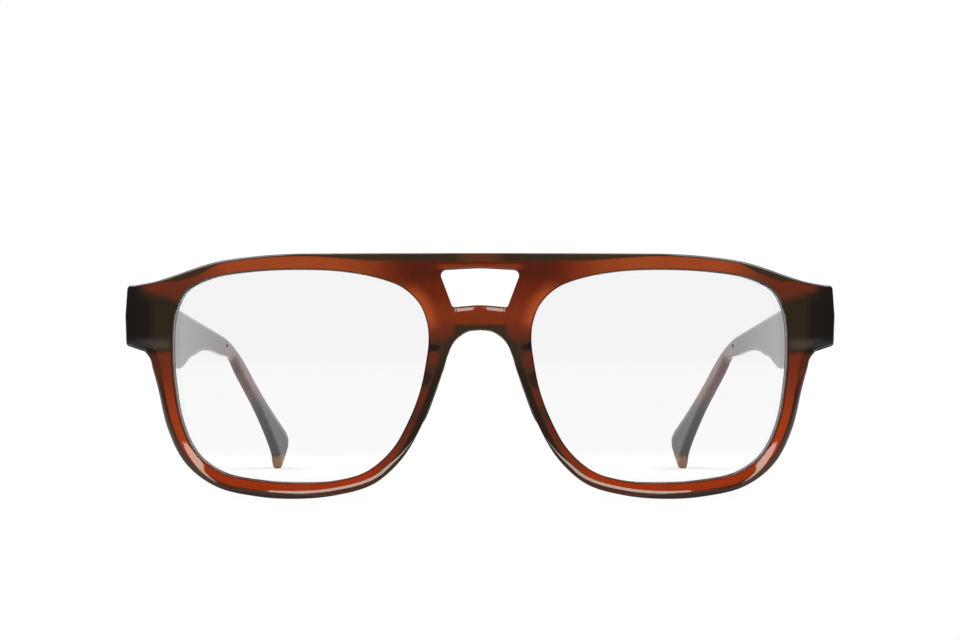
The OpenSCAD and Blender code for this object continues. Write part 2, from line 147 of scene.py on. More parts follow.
def blend(a, b, c, d, t):
    """A point between b and c on a curve that stays even however its points are spaced."""

    def slope(p, q, r):
        s, u = np.linalg.norm(q - p) ** 0.5, np.linalg.norm(r - q) ** 0.5
        return (q - p) / s + (r - q) / u - (r - p) / (s + u)

    span = np.linalg.norm(c - b) ** 0.5
    m, w = span * slope(a, b, c), span * slope(b, c, d)
    t2, t3 = t * t, t**3
    return (2 * t3 - 3 * t2 + 1) * b + (t3 - 2 * t2 + t) * m + (3 * t2 - 2 * t3) * c + (t3 - t2) * w


def curve(p):
    """The curve through the points p from their second to their last but one."""
    return [
        blend(*p[i : i + 4], k / CURVE_STEPS) for i in range(len(p) - 3) for k in range(CURVE_STEPS)
    ]


def smooth_closed(points):
    p = np.array(points, float)
    return np.array(curve(np.vstack([p[-1:], p, p[:2]])))


def smooth_open(points):
    p = np.array(points, float)
    return np.vstack([curve(np.vstack([2 * p[0] - p[1], p, 2 * p[-1] - p[-2]])), p[-1:]])


def arc_corner(a, p, b, radius, steps=CORNER_STEPS):
    """The arc of that radius which rounds the corner p between a and b."""
    a, p, b = (np.array(v, float) for v in (a, p, b))
    u, w = unit(a - p), unit(b - p)
    half = math.acos(float(u @ w)) / 2
    centre = p + unit(u + w) * radius / math.sin(half)
    start = p + u * radius / math.tan(half) - centre
    way = start[0] * (p - a)[1] - start[1] * (p - a)[0]
    sweep = math.copysign(math.pi - 2 * half, way)
    turns = [sweep * k / steps for k in range(steps + 1)]
    return np.array(
        [
            centre
            + [
                start[0] * math.cos(q) - start[1] * math.sin(q),
                start[0] * math.sin(q) + start[1] * math.cos(q),
            ]
            for q in turns
        ]
    )


def normals_out(loop):
    """Outward normals of an anticlockwise loop."""
    t = np.roll(loop, -1, 0) - np.roll(loop, 1, 0)
    t /= np.linalg.norm(t, axis=1)[:, None]
    return np.stack([t[:, 1], -t[:, 0]], 1)


def grown(loop, distance):
    return loop + normals_out(loop) * distance


def even(loop, longest=0.9):
    """The loop with its long straights divided."""
    out = []
    for p, q in zip(loop, np.roll(loop, -1, 0)):
        parts = max(1, math.ceil(np.linalg.norm(q - p) / longest))
        out += [p + (q - p) * k / parts for k in range(parts)]
    return np.array(out)


def mirrored(loop):
    return (loop * [-1, 1])[::-1]


def anticlockwise(loop):
    x, y = loop[:, 0], loop[:, 1]
    turned = float(np.sum(x * np.roll(y, -1) - y * np.roll(x, -1)))
    return loop if turned > 0 else loop[::-1]


def step_up(v, low, high):
    """0 below low, 1 above high, and smooth between them."""
    t = np.clip((np.asarray(v, float) - low) / (high - low), 0, 1)
    return t * t * (3 - 2 * t)


# ---- Outlines of the front and of a temple

EYE_SHARES = [
    (0, 0.67), (0.008, 0.58), (0.033, 0.43), (0.077, 0.29), (0.14, 0.157), (0.235, 0.057),
    (0.36, 0.01), (0.51, 0), (0.66, 0.01), (0.8, 0.045), (0.9, 0.13), (0.96, 0.27),
    (0.99, 0.45), (1, 0.64), (0.988, 0.8), (0.945, 0.9), (0.85, 0.96), (0.7, 0.99),
    (0.52, 1), (0.35, 0.992), (0.2, 0.96), (0.1, 0.914), (0.036, 0.84), (0.006, 0.75),
]
EYE_CONTROL = np.array([(EYE_IN + u * EYE_W, EYE_LOW + v * EYE_H) for u, v in EYE_SHARES])
EYE_LINE = smooth_closed(EYE_CONTROL)


def front_outline():
    rim_corner = min(RIM_BOTTOM, RIM_SIDE) - 0.4
    widths = [
        RIM_NOSE, RIM_NOSE, (RIM_NOSE + RIM_BOTTOM) / 2 - 0.1, RIM_BOTTOM - 0.45, RIM_BOTTOM - 0.1,
        RIM_BOTTOM - 0.1, RIM_BOTTOM - 0.3, rim_corner, rim_corner, RIM_SIDE - 0.15,
    ]
    first = 3
    rim = [grown(EYE_CONTROL, w)[first + i] for i, w in enumerate(widths)]
    nose = [
        (0, ARCH_Z), (NOSE_HALF_W - 3.9, ARCH_Z - 0.35), (NOSE_HALF_W - 1.3, ARCH_Z - 2.3),
        (NOSE_HALF_W, ARCH_Z - 5), (EYE_IN - 2.9, ARCH_Z - 8), (EYE_IN - 0.9, ARCH_Z - 13.2),
    ]
    side = EYE_OUT + RIM_SIDE
    under = [(side + 0.35, END_LOW - 4.5), (side + 0.8, END_LOW - 2.6), (side + 1.9, END_LOW - 1.1)]
    middle = (HALF_W, (END_LOW + END_TOP) / 2)
    brow = [
        (HALF_W - 2, END_TOP), (EYE_OUT + 3.4, END_TOP + 0.7), (EYE_OUT + 0.8, END_TOP + 1.45),
        (EYE_OUT - 1.7, END_TOP + 2.25), (EYE_OUT - 4.3, TOP - 3.05), (EYE_OUT - 9.3, TOP - 1.6),
        (EYE_OUT - 16.6, TOP - 0.55), (EYE_OUT - 24, TOP - 0.05), (EYE_OUT - 30, TOP),
    ]
    half = np.vstack(
        [
            smooth_open(nose + rim + under),
            arc_corner(under[-1], (HALF_W - 0.2, END_LOW + 0.15), middle, END_CORNER),
            [middle],
            arc_corner(middle, (HALF_W - 0.45, END_TOP), brow[0], END_CORNER),
            smooth_open(brow),
            [(0, TOP)],
        ]
    )
    return even(np.vstack([half, half[-2:0:-1] * [-1, 1]]))


def window_outline():
    high, low = TOP - BAR_H - 0.45, WINDOW_LOW - 0.5
    rows = [
        (-WINDOW_TOP_W / 2, high, 1.1), (-WINDOW_BOTTOM_W / 2, low, 0.6), (0, WINDOW_LOW, 20),
        (WINDOW_BOTTOM_W / 2, low, 0.6), (WINDOW_TOP_W / 2, high, 1.1), (0, TOP - BAR_H, 30),
    ]
    points = [row[:2] for row in rows]
    arcs = [
        arc_corner(points[i - 1], points[i], points[(i + 1) % len(rows)], rows[i][2])
        for i in range(len(rows))
    ]
    return anticlockwise(even(np.vstack(arcs), 0.6))


def ear(u, v):
    along = np.array([math.cos(EAR_ANGLE), -math.sin(EAR_ANGLE)])
    up = np.array([math.sin(EAR_ANGLE), math.cos(EAR_ANGLE)])
    return np.array([BEND_AT, SHAFT_TOP]) + u * along + v * up


def temple_outline():
    """A temple's side view before it is leaned: distance back from its pin, and height above it."""
    end = BROAD_L + STEP_L
    rest = [
        ear(EAR_L * 0.93, 0), ear(EAR_L * 0.98, -0.9), ear(EAR_L, -TIP_DROP * 0.28),
        ear(EAR_L * 0.995, -TIP_DROP * 0.52), ear(EAR_L * 0.985, -TIP_DROP * 0.76),
        ear(EAR_L * 0.965, -TIP_DROP), ear(EAR_L * 0.935, -TIP_DROP * 0.94),
        ear(EAR_L * 0.9, -PADDLE_H * 1.23), ear(EAR_L * 0.81, -PADDLE_H),
        ear(EAR_L * 0.68, -PADDLE_H * 0.4 - WAIST_H * 0.6), ear(EAR_L * 0.54, -WAIST_H),
        ear(EAR_L * 0.38, -WAIST_H + 0.3), ear(EAR_L * 0.17, -WAIST_H + 0.2), ear(0, -WAIST_H),
        (BEND_AT - 11, SHAFT_TOP - WAIST_H), (end + 11, SHAFT_TOP - WAIST_H - 0.25),
        (end + 4, SHAFT_TOP - WAIST_H - 0.7), (end - STEP_L * 0.22, SHAFT_TOP - WAIST_H - 2.05),
        (end - STEP_L * 0.44, SHAFT_TOP - WAIST_H - 3.55),
        (end - STEP_L * 0.7, SHAFT_TOP - BROAD_H + 3.5),
        (end - STEP_L * 0.88, SHAFT_TOP - BROAD_H + 1.5),
        (BROAD_L, SHAFT_TOP - BROAD_H + 0.5), (BROAD_L - 4, SHAFT_TOP - BROAD_H + 0.12),
        (BROAD_L - 8, SHAFT_TOP - BROAD_H), (BROAD_L * 0.36, SHAFT_TOP - BUTT_H - 0.15),
    ]
    bend = arc_corner((0, SHAFT_TOP), (BEND_AT, SHAFT_TOP), ear(EAR_L, 0), BEND_R, 14)
    low = SHAFT_TOP - BUTT_H
    return np.vstack([[(-RUN_ON, SHAFT_TOP)], bend, smooth_open(rest), [(0, low), (-RUN_ON, low)]])


def leaned(points, angle):
    u, v = points[:, 0], points[:, 1]
    c, s = math.cos(angle), math.sin(angle)
    return np.stack([u * c + v * s, v * c - u * s], 1)


def standing_lean(points):
    """The lean at which the lowest point of a temple touches what the frame stands on."""
    angle = 0.1
    for _ in range(30):
        low = points[np.argmin(leaned(points, angle)[:, 1])]
        angle = math.atan2(low[1], low[0]) + math.asin(HINGE_Z / np.linalg.norm(low))
    return angle


TEMPLE_RAW = temple_outline()
LEAN = standing_lean(TEMPLE_RAW)
TEMPLE_BACK = float(leaned(TEMPLE_RAW, LEAN)[:, 0].max())
DEPTH = HINGE_Y + TEMPLE_BACK
# Where the dull fleck on a temple's bend lies in the finished frame
FLECK_Y, FLECK_Z = HINGE_Y + 74 - DEPTH / 2, 31


def inner_x(y):
    """Inner face of an open temple at a distance back from the pin."""
    curl = TIP_CURL * (np.maximum(0, y - CURL_FROM) / (TEMPLE_BACK - CURL_FROM)) ** 2
    return HINGE_X + PIN_OFF / math.cos(TAPER) - y * math.tan(TAPER) - curl


def temple_thickness(y):
    share = np.clip(y / CURL_FROM, 0, 1)
    return (TEMPLE_T + (TIP_T - TEMPLE_T) * share) / math.cos(TAPER)


def shell_y(x, radius):
    """Depth behind the front's foremost point on the cylinder of that radius."""
    return FRONT_R - np.sqrt(radius**2 - np.asarray(x) ** 2)


def eye_at(loop, radius):
    """Where the toed-in sides of a lens opening cross the cylinder of that radius."""
    turn_y = float(shell_y(EYE_MID, FRONT_R))
    u = loop[:, 0] - EYE_MID
    px = EYE_MID + u * math.cos(EYE_TOE)
    py = turn_y + u * math.sin(EYE_TOE) - FRONT_R
    dx, dy = -math.sin(EYE_TOE), math.cos(EYE_TOE)
    along = px * dx + py * dy
    s = -along - np.sqrt(along**2 - px**2 - py**2 + radius**2)
    return np.stack([px + s * dx, py + s * dy + FRONT_R, loop[:, 1]], 1)


# ---- Meshes


def edge_distance(points, loop, *values):
    """Distance of each point from a loop, and the loop's own values at the nearest place."""
    a, b = loop, np.roll(loop, -1, 0)
    ab = b - a
    length2 = np.sum(ab * ab, 1)
    out = np.empty((1 + len(values), len(points)))
    for lo in range(0, len(points), 2000):
        part = slice(lo, lo + 2000)
        p = points[part, None, :]
        t = np.clip(np.sum((p - a) * ab, 2) / length2, 0, 1)
        d2 = np.sum((a + t[..., None] * ab - p) ** 2, 2)
        k = np.argmin(d2, 1)
        rows = np.arange(len(k))
        share = t[rows, k]
        out[0, part] = np.sqrt(d2[rows, k])
        for row, value in enumerate(values, 1):
            out[row, part] = value[k] * (1 - share) + np.roll(value, -1)[k] * share
    return out


def inside(points, loop):
    x, y = points[:, 0][:, None], points[:, 1][:, None]
    ax, ay = loop[:, 0], loop[:, 1]
    bx, by = np.roll(ax, -1), np.roll(ay, -1)
    crosses = (ay > y) != (by > y)
    with np.errstate(divide="ignore", invalid="ignore"):
        at = (bx - ax) * (y - ay) / (by - ay) + ax
    return (np.sum(crosses & (x < at), 1) % 2).astype(bool)


class Edge:
    """A loop with its rounding's width at each point, and the depth as a share of that width."""

    def __init__(self, loop, width=0.0, depth=1.0):
        self.loop = loop
        self.width = np.full(len(loop), width) if np.isscalar(width) else width
        self.depth = np.full(len(loop), depth) if np.isscalar(depth) else depth
        self.rounded = float(self.width.max()) > 0


class Sheet:
    """A flat region with holes, filled with triangles that run in rings along its rounded edges.

    The first of its edges is the outline and the others are holes, all anticlockwise. Extra points
    that it is given take the place of the field round them.
    """

    def __init__(self, edges, grid=1.6, extra=None):
        self.edges = edges
        points, lines, rows = [], [], []
        base = 0
        for edge in edges:
            n = len(edge.loop)
            rows.append(range(base, base + n))
            points.append(edge.loop)
            lines += [(base + i, base + (i + 1) % n) for i in range(n)]
            base += n
        for edge in edges:
            if not edge.rounded:
                continue
            way = normals_out(edge.loop) * (-1 if edge is edges[0] else 1)
            for k in range(1, ROUND_STEPS + 1):
                share = 1 - math.cos(math.pi / 2 * min(1, k / (ROUND_STEPS - 1)))
                flat = FLAT_RING * (k == ROUND_STEPS)
                ring = edge.loop + way * (edge.width * share + flat)[:, None]
                dist, width = edge_distance(ring, edge.loop, edge.width)
                ring = ring[dist > (width * share + flat) * RING_TRUE]
                for other in edges:
                    if other is not edge and len(ring):
                        ring = ring[edge_distance(ring, other.loop)[0] > RING_CLEAR]
                n = len(ring)
                if n < 3:
                    continue
                gaps = np.linalg.norm(np.roll(ring, -1, 0) - ring, axis=1)
                points.append(ring)
                lines += [(base + i, base + (i + 1) % n) for i in range(n) if gaps[i] < RING_BREAK]
                base += n
        field = self.field(grid)
        if extra is not None:
            gaps = np.array([np.min(np.sum((extra - p) ** 2, 1)) for p in field])
            field = field[gaps > EXTRA_CLEAR**2]
            points.append(extra[self.holds(extra)])
        points.append(field)
        verts, _, tris, origins, _, _ = delaunay_2d_cdt(
            [Vector(p) for p in np.vstack(points)], lines, [], 0, 1e-6
        )
        self.points = np.array([tuple(v) for v in verts])
        place = {old: new for new, olds in enumerate(origins) for old in olds}
        self.loop_ids = [[place[i] for i in ids] for ids in rows]
        tris = np.array([t for t in tris if len(t) == 3])
        self.tris = tris[self.holds(self.points[tris].mean(1))]
        self.spans = [edge_distance(self.points, e.loop, e.width, e.depth) for e in edges]
        for ids, span in zip(self.loop_ids, self.spans):
            span[0][ids] = 0

    def holds(self, points):
        keep = inside(points, self.edges[0].loop)
        for edge in self.edges[1:]:
            keep &= ~inside(points, edge.loop)
        return keep

    def field(self, grid):
        """Evenly spread points inside the rounded edges."""
        lo, hi = self.edges[0].loop.min(0), self.edges[0].loop.max(0)
        rows = np.arange(lo[1], hi[1], grid * FIELD_ROW)
        x, y = np.meshgrid(np.arange(lo[0], hi[0], grid), rows)
        x[1::2] += grid / 2
        points = np.stack([x.ravel(), y.ravel()], 1)
        points = points[self.holds(points)]
        for edge in self.edges:
            dist, width = edge_distance(points, edge.loop, edge.width)
            points = points[dist > width + grid * FIELD_CLEAR]
        return points

    def drop(self):
        """How far the rounded edges fall below the face."""
        out = np.zeros(len(self.points))
        for edge, (dist, width, depth) in zip(self.edges, self.spans):
            if edge.rounded:
                t = np.clip(1 - dist / np.maximum(width, 1e-6), 0, 1)
                turn = 1 - (1 - t**TIGHT_TURN) ** (1 / TIGHT_TURN)
                out = np.maximum(out, width * depth * (EVEN_ROLL * t * t + (1 - EVEN_ROLL) * turn))
        return out


class Builder:
    """Collects the vertices, the faces and the per-vertex values of one mesh."""

    def __init__(self):
        self.verts, self.faces, self.slots, self.values = [], [], [], {}
        self.count = self.slot = 0

    def add(self, points, **values):
        ids = np.arange(self.count, self.count + len(points))
        self.verts.append(np.asarray(points, float))
        for name in set(self.values) | set(values):
            rows = self.values.setdefault(name, [np.zeros(self.count)])
            value = np.asarray(values.get(name, 0.0), float)
            rows.append(np.broadcast_to(value, (len(points),)))
        self.count += len(points)
        return ids

    def face(self, ids):
        self.faces.append([int(i) for i in ids])
        self.slots.append(self.slot)

    def strip(self, a, b):
        for i in range(len(a)):
            j = (i + 1) % len(a)
            self.face((a[i], a[j], b[j], b[i]))

    def sheet(self, sheet, points, **values):
        ids = self.add(points, **values)
        for tri in sheet.tris:
            self.face(ids[tri])
        return [ids[loop] for loop in sheet.loop_ids]

    def piece(self, name, *materials, sharp=35):
        """The finished mesh as an object, with its loose points gone and its normals outwards."""
        xyz = np.vstack(self.verts) - [0, DEPTH / 2, 0]
        mesh = bpy.data.meshes.new(name)
        mesh.from_pydata((xyz * MM).tolist(), [], self.faces)
        mesh.polygons.foreach_set("material_index", self.slots)
        for key, rows in self.values.items():
            attribute = mesh.attributes.new(key, "FLOAT", "POINT")
            attribute.data.foreach_set("value", np.concatenate(rows).astype(np.float32))
        bm = bmesh.new()
        bm.from_mesh(mesh)
        loose = [v for v in bm.verts if not v.link_faces]
        bmesh.ops.delete(bm, geom=loose, context="VERTS")
        bmesh.ops.recalc_face_normals(bm, faces=bm.faces)
        bm.to_mesh(mesh)
        bm.free()
        mesh.shade_smooth()
        mesh.set_sharp_from_angle(angle=math.radians(sharp))
        for material in materials:
            mesh.materials.append(material)
        piece = bpy.data.objects.new(name, mesh)
        bpy.context.scene.collection.objects.link(piece)
        return piece


# ---- Shader expressions


class Value:
    """A node socket that takes part in Python arithmetic."""

    def __init__(self, tree, socket):
        self.tree, self.socket = tree, socket

    def make(self, kind, out=0, settings=None, **inputs):
        """An output of a new node of that type, its settings made first and its sockets then fed.

        A socket goes by its name, or by i and its number where several share a name.
        """
        node = self.tree.nodes.new(kind)
        for key, setting in (settings or {}).items():
            setattr(node, key, setting)
        for key, value in inputs.items():
            place = key[1:]
            socket = node.inputs[int(place) if place.isdigit() else key.replace("_", " ")]
            if isinstance(value, Value):
                self.tree.links.new(value.socket, socket)
            else:
                socket.default_value = value
        return Value(self.tree, node.outputs[out])

    def _math(self, operation, other=0.0, swapped=False, clamp=False):
        a, b = (other, self) if swapped else (self, other)
        settings = {"operation": operation, "use_clamp": clamp}
        return self.make("ShaderNodeMath", settings=settings, i0=a, i1=b)

    def __add__(self, other):
        return self._math("ADD", other)

    def __sub__(self, other):
        return self._math("SUBTRACT", other)

    def __mul__(self, other):
        return self._math("MULTIPLY", other)

    def __rsub__(self, other):
        return self._math("SUBTRACT", other, swapped=True)

    def __truediv__(self, other):
        return self._math("DIVIDE", other)

    def __rtruediv__(self, other):
        return self._math("DIVIDE", other, swapped=True)

    __radd__, __rmul__ = __add__, __mul__

    def clamped(self):
        return self._math("ADD", 0.0, clamp=True)

    def size(self):
        return self._math("ABSOLUTE")

    def largest(self, other):
        return self._math("MAXIMUM", other)

    def between(self, low, high):
        """0 at low, 1 at high, smooth between them, whichever is greater."""
        if low > high:
            return 1 - self.between(high, low)
        settings = {"interpolation_type": "SMOOTHSTEP"}
        return self.make(
            "ShaderNodeMapRange", settings=settings, Value=self, From_Min=low, From_Max=high
        )

    def mix(self, a, b):
        """Colour a where this mask is 0 and b where it is 1."""
        settings = {"data_type": "RGBA"}
        return self.make("ShaderNodeMix", 2, settings, i0=self, i6=a, i7=b)


class Finish:
    """A material with one Principled shader, the values its expressions start from, and a tone."""

    def __init__(self, name, **uniform):
        self.material = bpy.data.materials.new(name)
        self.material.use_nodes = True
        self.tree = self.material.node_tree
        self.shader = self.tree.nodes["Principled BSDF"]
        for key, value in uniform.items():
            self.shader.inputs[key.replace("_", " ")].default_value = value
        self.start = Value(self.tree, None)
        place = self.start.make("ShaderNodeTexCoord", 3)
        self.place = self.start.make(
            "ShaderNodeVectorMath", settings={"operation": "SCALE"}, Vector=place, Scale=1 / MM
        )
        self.x, self.y, self.z = (
            self.start.make("ShaderNodeSeparateXYZ", i, Vector=self.place) for i in range(3)
        )
        self.tone = None

    def attribute(self, name):
        return self.start.make("ShaderNodeAttribute", 2, {"attribute_name": name})

    def noise(self, scale, detail=2.0, roughness=0.5, stretch=(1, 1, 1), shift=0.0, distortion=0.0):
        at = self.start.make(
            "ShaderNodeVectorMath",
            settings={"operation": "MULTIPLY_ADD"},
            i0=self.place,
            i1=stretch,
            i2=(shift, shift * 0.7, -shift),
        )
        return self.start.make(
            "ShaderNodeTexNoise",
            Vector=at,
            Scale=scale,
            Detail=detail,
            Roughness=roughness,
            Distortion=distortion,
        )

    def lay(self, mask, colour):
        """Lays a colour, plain or worked out, over the tone where the mask is 1."""
        self.tone = mask.mix(self.tone, colour if isinstance(colour, Value) else rgba(colour))

    def feed(self, **sockets):
        for key, value in sockets.items():
            self.tree.links.new(value.socket, self.shader.inputs[key.replace("_", " ")])
        return self.material

    def bump(self, height, strength, distance):
        return self.start.make(
            "ShaderNodeBump", Height=height, Strength=strength, Distance=distance
        )


def rgba(colour):
    return (*colour[:3], 1)


def scaled(colour, share):
    return [c * share for c in colour]


def grey(level):
    return (level, level, level, 1)


# ---- Settings that a user may change


def number(name, description, default, low, high, **kind):
    return bpy.props.FloatProperty(
        name=name, description=description, default=default, min=low, max=high, **kind
    )


def length(name, description, default, low, high):
    return number(name, description, default, low, high, unit="LENGTH", precision=5)


def colour(name, description, default):
    return bpy.props.FloatVectorProperty(
        name=name, description=description, default=default, size=3, min=0, max=1, subtype="COLOR",
    )


class EyewearShape(bpy.types.PropertyGroup):
    """How far edges are softened"""

    rim_round: length("Rim rounding", "Rolled outer edge of the lower rims", 0.0015, 0.0003, 0.002)
    brow_round: length("Brow rounding", "Edge along the top of the front", 0.00025, 0.0001, 0.0006)
    end_round: length("End rounding", "Edges of the end pieces", 0.0005, 0.0002, 0.001)
    arch_round: length("Arch rounding", "Edge round the nose arch", 0.00025, 0.0001, 0.001)
    sill_round: length("Sill bevel", "Bevel under the bridge window", 0.0011, 0.0005, 0.002)
    eye_round: length("Opening rounding", "Edge round each lens and window", 0.0002, 0.0001, 0.0006)
    rim_crown: length("Rim crown", "Fall of the lower corners to their edge", 0.0013, 0, 0.0015)
    temple_round: length("Temple rounding", "Edges of a temple", 0.00105, 0.0003, 0.0011)


class EyewearColours(bpy.types.PropertyGroup):
    """Colours of the acetate, the lenses and the metal"""

    # Amber is partly the acetate's own colour and partly painted light coming through the lower
    # rims
    amber: colour("Amber", "Lower rims, where light comes through", (0.33, 0.032, 0.004))
    # Honey is partly the acetate's own colour and partly the painted glow beside the bridge
    honey: colour("Honey", "Brow and the glow beside the bridge", (0.25, 0.045, 0.012))
    red_brown: colour("Red brown", "Bridge", (0.10, 0.0125, 0.0035))
    maroon: colour("Maroon", "Deep red streaks", (0.085, 0.017, 0.009))
    # Olive and dark are partly the acetate's own colours and partly painted shade along the front's
    # edges, round the openings and beside the nose
    olive: colour("Olive", "Dark edges and the inner end pieces", (0.026, 0.018, 0.010))
    dark: colour("Dark", "Darkest streaks", (0.009, 0.007, 0.006))
    horn: colour("Horn", "Light tips of the temples", (0.30, 0.12, 0.035))
    # The thin edge colour is painted light: light through a temple's top edge and the end pieces'
    # foot, and a sheen on the shafts
    thin: colour("Thin edge", "Where light comes through a temple's top edge", (0.4, 0.36, 0.34))
    lens: colour("Lens", "Tint of the clear lenses", (0.968, 0.968, 0.968))
    wall: colour("Opening walls", "Sawn walls of the lens openings", (0.13, 0.06, 0.045))
    nickel: colour("Nickel silver", "Metal of the hinges", (0.66, 0.61, 0.52))
    steel: colour("Steel", "Metal of the hinge screws", (0.6, 0.6, 0.6))
    wire: colour("Wire", "Metal of the wires in the temples", (0.62, 0.6, 0.56))


class EyewearStudio(bpy.types.PropertyGroup):
    """Camera and floor"""

    distance: length("Camera distance", "From the camera to the front", 0.5, 0.2, 3)
    height: length("Camera height", "Above the floor", 0.03026, 0, 1)
    focal: number("Focal length", "Millimetres, on a 36 mm sensor", 93.94, 20, 300)
    shift: number(
        "Vertical shift", "Of the picture, as a share of its width", 0.0302, -0.3, 0.3,
        subtype="FACTOR",
    )
    floor: colour("Floor", "Colour of the floor and the background", (1, 1, 1))


# ---- Finishes


def acetate(name, **uniform):
    """Polished cellulose acetate, with the faint unevenness of hand polishing."""
    f = Finish(name, IOR=1.49, **uniform)
    f.polish = f.noise(0.5, 3, 0.6, shift=9.0) * 0.05 + 0.035
    f.feed(Roughness=f.polish)
    return f


def front_finish(colours):
    """Tortoise colours of the front, with painted light and shade. Distances across and heights are
    in millimetres.
    """
    f = acetate("front_acetate")
    swirl = (f.noise(0.16, 3, 0.6, shift=11.0) - 0.5) * 5
    drift = (f.noise(0.22, 3, 0.6, shift=4.0) - 0.5) * 4
    cloud = f.noise(0.45, 4, 0.65, stretch=(1, 1, 0.5), shift=7.0, distortion=0.8) - 0.5
    across, up = f.x.size(), f.z
    x, z = across + swirl * 0.5, up + drift * 0.5
    edge, eye = f.attribute("edge"), f.attribute("eye")

    def spot(at_x, at_z, wide, high):
        """An elliptical patch of the sheet, mirrored to both sides."""
        u, v = (x - at_x) / wide, (z - at_z) / high
        return (u * u + v * v).between(1.5, 0.5)

    # Lower rims are amber, partly the acetate's own colour and partly painted light coming through
    # it, and darken upwards at the temple side, downwards and beside the nose
    f.tone = rgba(colours.amber)
    side = across.between(50, 56) * z.between(9, 14) * 0.4
    f.lay(side.largest(z.between(36, 42)), colours.honey)
    rise = z.between(12, 28) * z.between(36, 30) * 0.8
    f.lay((rise + cloud * 0.6).clamped(), colours.maroon)
    f.lay(z.between(12, 5) * 0.22, colours.dark)
    f.lay(across.between(24, 18) * z.between(3, 7) * z.between(20, 12) * 0.7, colours.maroon)
    # The bridge is a deep red brown, lighter below and darker beside the window
    bridge = x.between(36, 14) * z.between(30.5, 33)
    deep = (z.between(42.5, 37) * 0.3).mix(rgba(colours.red_brown), rgba(colours.honey))
    f.lay((bridge + cloud * 0.5).clamped() * bridge, deep)
    f.lay(x.between(19, 13) * z.between(42.5, 45.5) * 0.4, colours.dark)
    # with painted light: a glow beside each lens opening and a fainter one over the window,
    # standing for light coming through the acetate
    glow = eye.between(3.2, 0.2) * x.between(18, 13) * z.between(33, 35) * z.between(45, 40.5)
    over = across.between(9.5, 7) * up.between(45.9, 46.5) * up.between(47.6, 46.8) * 0.4
    f.lay(glow.largest(over) * 0.85, scaled(colours.honey, 1.3))
    # Beside the nose it is nearly black, with red between, the black partly painted shade of the
    # nose pad seen through the acetate
    f.lay(across.between(12, 9) * z.between(37, 33) * 0.8, colours.maroon)
    nose = across.between(18.5, 15) * z.between(33.6, 31.2) * z.between(8, 13)
    red = spot(10.2, 28.3, 1.8, 1.7).largest(spot(12.0, 20.5, 2.5, 1.9))
    red = red.largest(spot(14.5, 13.5, 2.6, 2.0)) * 0.75 + cloud * 0.8 + 0.2
    low = red.clamped().mix(rgba(colours.olive), rgba(colours.maroon))
    # Painted shade: two black spots where the nose pad's join shows through the acetate
    black = spot(10.0, 30.7, 1.7, 0.8).largest(spot(11.5, 24.4, 2.0, 1.5) * 0.7)
    f.lay(nose * 0.93, black.mix(low, rgba(colours.dark)))
    # The end pieces turn red, olive and black towards the hinge, with a paler strip of painted
    # light at their foot
    f.lay(across.between(48, 60) * z.between(36, 40) * 0.9, colours.maroon)
    climb = z - (across - 60) * 0.3
    shade = across.between(57, 60.5) * z.between(28.6, 30.4) * climb.between(41, 38.4)
    f.lay(shade, scaled(colours.olive, 0.8))
    end = x.between(65.2, 68.2) * z.between(28.8, 30.4) * z.between(42, 39.5)
    f.lay(end.largest(x.between(67, 70.5)) * 0.96, colours.dark)
    # Painted light: a pale strip along the end pieces' foot, where the painted shade of the edge
    # also thins
    foot = across.between(61, 64) * up.between(33, 31.2) * up.between(29.8, 30.7)
    f.lay(foot * 0.07, colours.thin)
    # Looked at through its rolled edge and the nose arch the acetate is almost black, which is
    # painted here as a dark edge of shade
    arch = across.between(6, 4.5) * up.between(35.3, 34.9) * up.between(31, 33)
    band = edge.between(1.12, 0.85).largest(arch)
    outer = (z.between(30, 24) * z.between(6, 14) * 0.7).largest(
        across.between(62, 67) * z.between(20, 30)
    )
    outer = outer.mix(rgba(colours.olive), rgba(colours.dark))
    # The painted shade takes some maroon at the temple side and along the bottom
    redder_shade = z.between(20, 24) * up.between(30, 28.5) * across.between(50, 60)
    redder_shade = redder_shade.largest(z.between(10, 5) * 0.5)
    f.lay(band * (0.94 - foot * 0.56), (redder_shade * 0.7).mix(outer, rgba(colours.maroon)))
    # but the painted shade is browner along the middle of the top, and a dark line of painted shade
    # runs round each lens opening
    f.lay(across.between(5.5, 2.5) * up.between(47.4, 48.0) * 0.2, colours.honey)
    f.lay(eye.between(0.4, 0.15) * 0.8, colours.dark)
    return f.feed(Base_Color=f.tone)


def wall_finish(colours):
    """Sawn and barely polished walls of the lens openings, with their grooves."""
    f = Finish("opening_wall", Specular_IOR_Level=0.0)
    grain = f.noise(2.2, 3, 0.6)
    f.tone = rgba(scaled(colours.wall, 0.6))
    f.lay(grain.between(0.3, 0.8), colours.wall)
    f.lay(f.z.between(32, 40), colours.dark)
    return f.feed(Base_Color=f.tone, Roughness=grain * 0.2 + 0.3)


